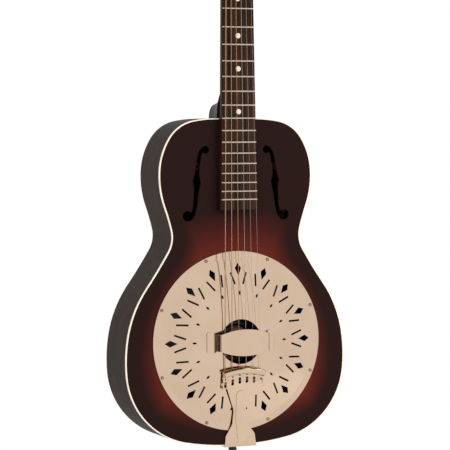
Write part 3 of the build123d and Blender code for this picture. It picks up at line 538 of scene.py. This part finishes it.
# Nut: a bar of bone, sawn, slotted and polished, glued across the fingerboard's end.  It is off
# white with fine pores.
bone, tree, shader = new_finish("polished_bone", {"Roughness": 0.35, "IOR": 1.54, "Subsurface Weight": 0.1})
place = add_node(tree, "ShaderNodeTexCoord")
pore = add_node(
    tree,
    "ShaderNodeTexNoise",
    {"Scale": 900.0, "Detail": 2.0},
    {"Vector": place.outputs["Object"]},
)
tone = add_node(
    tree,
    "ShaderNodeValToRGB",
    links={"Fac": pore.outputs["Fac"]},
    stops=[(0.3, "#D8CFB8"), (0.5, "#EDE6D3")],
)
tree.links.new(tone.outputs["Color"], shader.inputs["Base Color"])
give(bone, "nut")

# Truss rod with its nut, neck bolts and the biscuit's screw: plain steel, turned and threaded, and
# left bare and grey.
turned_steel = brushed_or_polished("turned_steel", "#A9A9A8", 0.35, "#8E8D8B", 0.00003, 0.002)
give(turned_steel, "truss_rod", "truss_rod_nut", "neck_bolts", "biscuit_screw")

# Cover of the truss rod's pocket, and the end pin: black ABS, moulded with a fine satin texture.
# The plate is screwed on, and the pin is pushed into the tail block.
black_abs, tree, shader = new_finish("black_satin_abs", {"Roughness": 0.4, "IOR": 1.53})
place = add_node(tree, "ShaderNodeTexCoord")
speck = add_node(
    tree,
    "ShaderNodeTexNoise",
    {"Scale": 1500.0, "Detail": 1.0},
    {"Vector": place.outputs["Object"]},
)
tone = add_node(
    tree,
    "ShaderNodeValToRGB",
    links={"Fac": speck.outputs["Fac"]},
    stops=[(0.3, "#0B0B0B"), (0.7, "#161514")],
)
texture = add_node(
    tree,
    "ShaderNodeBump",
    {"Strength": 0.2, "Distance": 0.0001},
    {"Height": speck.outputs["Fac"]},
)
tree.links.new(tone.outputs["Color"], shader.inputs["Base Color"])
tree.links.new(texture.outputs["Normal"], shader.inputs["Normal"])
give(black_abs, "truss_rod_cover", "end_pin")

# Cone: aluminium sheet spun over a former, so its surface carries fine rings round the middle.
# The rings are drawn 1.2 mm apart, coarser than the tool's real track, so that they show.  Its
# grey is painted far darker than bare aluminium, as painted shade inside the body under the cover plate.
ring_spacing = 0.0012
wave_length = 0.314  # of a wave texture at scale 1, in metres
spun_aluminium_painted_shade, tree, shader = new_finish("spun_aluminium_painted_shade", {"Metallic": 1.0, "Roughness": 0.35})
place = add_node(tree, "ShaderNodeTexCoord")
centred = add_node(
    tree,
    "ShaderNodeMapping",
    {"Location": (0, 0, -cone_middle[2])},
    {"Vector": place.outputs["Object"]},
)
rings = add_node(
    tree,
    "ShaderNodeTexWave",
    {"Scale": wave_length / ring_spacing, "Distortion": 0.5, "Detail": 1.0},
    {"Vector": centred.outputs["Vector"]},
    wave_type="RINGS",
    rings_direction="Y",
)
# The ramp's dark greys are painted shade, not the metal's own colour.
tone = add_node(
    tree,
    "ShaderNodeValToRGB",
    links={"Fac": rings.outputs["Fac"]},
    stops=[(0.2, "#3E3C3A"), (0.8, "#5A5856")],
)
track = add_node(
    tree,
    "ShaderNodeBump",
    {"Strength": 0.4, "Distance": 0.0001},
    {"Height": rings.outputs["Fac"]},
)
tree.links.new(tone.outputs["Color"], shader.inputs["Base Color"])
tree.links.new(track.outputs["Normal"], shader.inputs["Normal"])
give(spun_aluminium_painted_shade, "cone")

# Biscuit and saddle: a disc of maple on the cone's top and a thin maple strip let into it.  Both
# are turned or sawn and left bare.  Their colour is painted far darker than bare maple, as painted
# shade under the palm rest and cover plate.
bare_maple_painted_shade, tree, shader = new_finish("bare_maple_painted_shade", {"Roughness": 0.6})
streak = grain(tree, 500.0, 40.0, "X")
# The ramp's dark browns are painted shade, not the maple's own colour.
tone = add_node(
    tree,
    "ShaderNodeValToRGB",
    links={"Fac": streak.outputs["Fac"]},
    stops=[(0.3, "#4F3A25"), (0.7, "#6B5136")],
)
tree.links.new(tone.outputs["Color"], shader.inputs["Base Color"])
give(bare_maple_painted_shade, "biscuit", "saddle")

# Cover plate, palm rest and tailpiece: pressed from sheet brass, polished and nickel plated.  The
# plating is warm and mirror bright, and the pressed sheet waves slightly, which bends reflections.
polished_nickel = brushed_or_polished("polished_nickel_plate", "#D6BCA4", 0.1, "#D0B69D", 0.00025, 0.03)
give(polished_nickel, "cover_plate", "palm_rest", "tailpiece")

# Cover plate's screws: small wood screws with domed heads, nickel plated and duller than the plate
# they hold down.  Their plating is also painted darker than the plate's, as painted shade on the heads.
dull_nickel_painted_shade = brushed_or_polished("dull_nickel_plate_painted_shade", "#A8937E", 0.3, "#8F7D6B", 0.00002, 0.002)
give(dull_nickel_painted_shade, "cover_plate_screws")

# Plain strings: the three thin ones are drawn steel wire, tinned, bright and smooth, held tight
# between the tailpiece and the posts.
tinned_steel = brushed_or_polished("tinned_steel_wire", "#CFC2B4", 0.25, "#B8ACA0", 0.00001, 0.002)
give(tinned_steel, "strings_plain")

# Wound strings: the three thick ones are steel cores wrapped in bronze wire.  The wrap is drawn
# 0.9 mm apart, at least twice as coarse as a real one, so that its ribs show.
wrap_spacing = 0.0009
bronze_wrap, tree, shader = new_finish("bronze_wrap", {"Metallic": 1.0, "Roughness": 0.3})
place = add_node(tree, "ShaderNodeTexCoord")
wraps = add_node(
    tree,
    "ShaderNodeTexWave",
    {"Scale": wave_length / wrap_spacing},
    {"Vector": place.outputs["Object"]},
    bands_direction="Z",
)
tone = add_node(
    tree,
    "ShaderNodeValToRGB",
    links={"Fac": wraps.outputs["Fac"]},
    stops=[(0.1, "#A8744E"), (0.7, "#E5B08A")],
)
ribs = add_node(
    tree,
    "ShaderNodeBump",
    {"Strength": 0.5, "Distance": 0.0002},
    {"Height": wraps.outputs["Fac"]},
)
tree.links.new(tone.outputs["Color"], shader.inputs["Base Color"])
tree.links.new(ribs.outputs["Normal"], shader.inputs["Normal"])
give(bronze_wrap, "strings_wound")

# Ball ends: small brass rings that the strings are twisted round, enamelled in a colour for each
# string so that a set is told apart: brass, red, black, green, purple and silver.
ball_colours = ["#8C6A35", "#9A2A22", "#131212", "#1F5C3A", "#4B3348", "#8C8780"]
ball_width = 0.004
ball_low, ball_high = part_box("ball_ends")
ball_middle = (ball_low[0] + ball_high[0]) / 2
ball_pitch = (ball_high[0] - ball_low[0] - ball_width) / (len(ball_colours) - 1)
ball_reach = len(ball_colours) / 2 * ball_pitch
ball_enamel, tree, shader = new_finish("enamelled_brass", {"Roughness": 0.25, "Metallic": 0.3})
place = add_node(tree, "ShaderNodeTexCoord")
parts = add_node(tree, "ShaderNodeSeparateXYZ", links={"Vector": place.outputs["Object"]})
which = add_node(
    tree,
    "ShaderNodeMapRange",
    {"From Min": ball_middle - ball_reach, "From Max": ball_middle + ball_reach},
    {"Value": parts.outputs["X"]},
)
tone = add_node(
    tree,
    "ShaderNodeValToRGB",
    links={"Fac": which.outputs["Result"]},
    stops=[(at / len(ball_colours), colour) for at, colour in enumerate(ball_colours)],
)
tone.color_ramp.interpolation = "CONSTANT"
tree.links.new(tone.outputs["Color"], shader.inputs["Base Color"])
give(ball_enamel, "ball_ends")

# Tuning machines: stamped plates with bent lugs, cut wheels and worms, all nickel plated and
# polished, held to the back of the headstock with small dome-headed screws.  The screws of the
# truss rod's cover are plated alike.
tuner_numbers = range(1, 7)
tuner_nickel = brushed_or_polished("tuner_nickel_plate", "#C9C4BC", 0.16, "#B5AFA6", 0.00002, 0.006)
give(tuner_nickel, "tuner_plates", "tuner_plate_screws", "tuner_ferrules", "truss_cover_screws")
give(tuner_nickel, *[f"tuner_post_{number}" for number in tuner_numbers])
give(tuner_nickel, *[f"tuner_worm_{number}" for number in tuner_numbers])

# Buttons: oval knobs moulded in cream plastic on the worms' shafts.  The plastic is glossy and
# faintly marbled.
button_plastic, tree, shader = new_finish(
    "cream_moulded_plastic",
    {"Roughness": 0.22, "IOR": 1.5, "Subsurface Weight": 0.15, "Subsurface Scale": 0.002},
)
place = add_node(tree, "ShaderNodeTexCoord")
marbling = add_node(
    tree,
    "ShaderNodeTexNoise",
    {"Scale": 120.0, "Detail": 3.0, "Distortion": 2.0},
    {"Vector": place.outputs["Object"]},
)
tone = add_node(
    tree,
    "ShaderNodeValToRGB",
    links={"Fac": marbling.outputs["Fac"]},
    stops=[(0.3, "#D9CBAA"), (0.7, "#EDE3C8")],
)
tree.links.new(tone.outputs["Color"], shader.inputs["Base Color"])
give(button_plastic, *[f"tuner_button_{number}" for number in tuner_numbers])

# String windings: the end of each string is wound down its post in three turns, of bronze wrap on
# the three thick strings and tinned steel on the others.  They turn with the post.
post_radius = 0.003
string_height = 0.0215
string_gauges = [0.00135, 0.00107, 0.00081, 0.00061, 0.00043, 0.00033]
wound_strings = 3
turns = 3
points_in_turn = 16
turn_pitch = 1.05  # in thicknesses of the string
for number, gauge in enumerate(string_gauges, 1):
    joint = next(j for j in frame["joints"] if j["name"] == f"tuner_post_{number}_turn")
    axis = Vector(joint["axis"]).normalized()
    across = Vector((1, 0, 0))
    up_head = axis.cross(across)
    foot = Vector(joint["pos_m"]) + axis * string_height
    radius = post_radius + gauge / 2
    coil = bpy.data.curves.new(f"string_winding_{number}", "CURVE")
    coil.dimensions = "3D"
    coil.bevel_depth = gauge / 2
    coil.bevel_resolution = 3
    coil.use_fill_caps = True
    wire = coil.splines.new("NURBS")
    steps = points_in_turn * turns
    wire.points.add(steps)
    for step in range(steps + 1):
        angle = 2 * pi * step / points_in_turn
        drop = axis * (gauge * turn_pitch * step / points_in_turn)
        spot = foot - drop + across * (radius * cos(angle)) + up_head * (radius * sin(angle))
        wire.points[step].co = (*spot, 1)
    wire.order_u = 3
    wire.use_endpoint_u = True
    winding = bpy.data.objects.new(f"string_winding_{number}", coil)
    bpy.context.scene.collection.objects.link(winding)
    coil.materials.append(bronze_wrap if number <= wound_strings else tinned_steel)
    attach(winding, f"tuner_post_{number}")
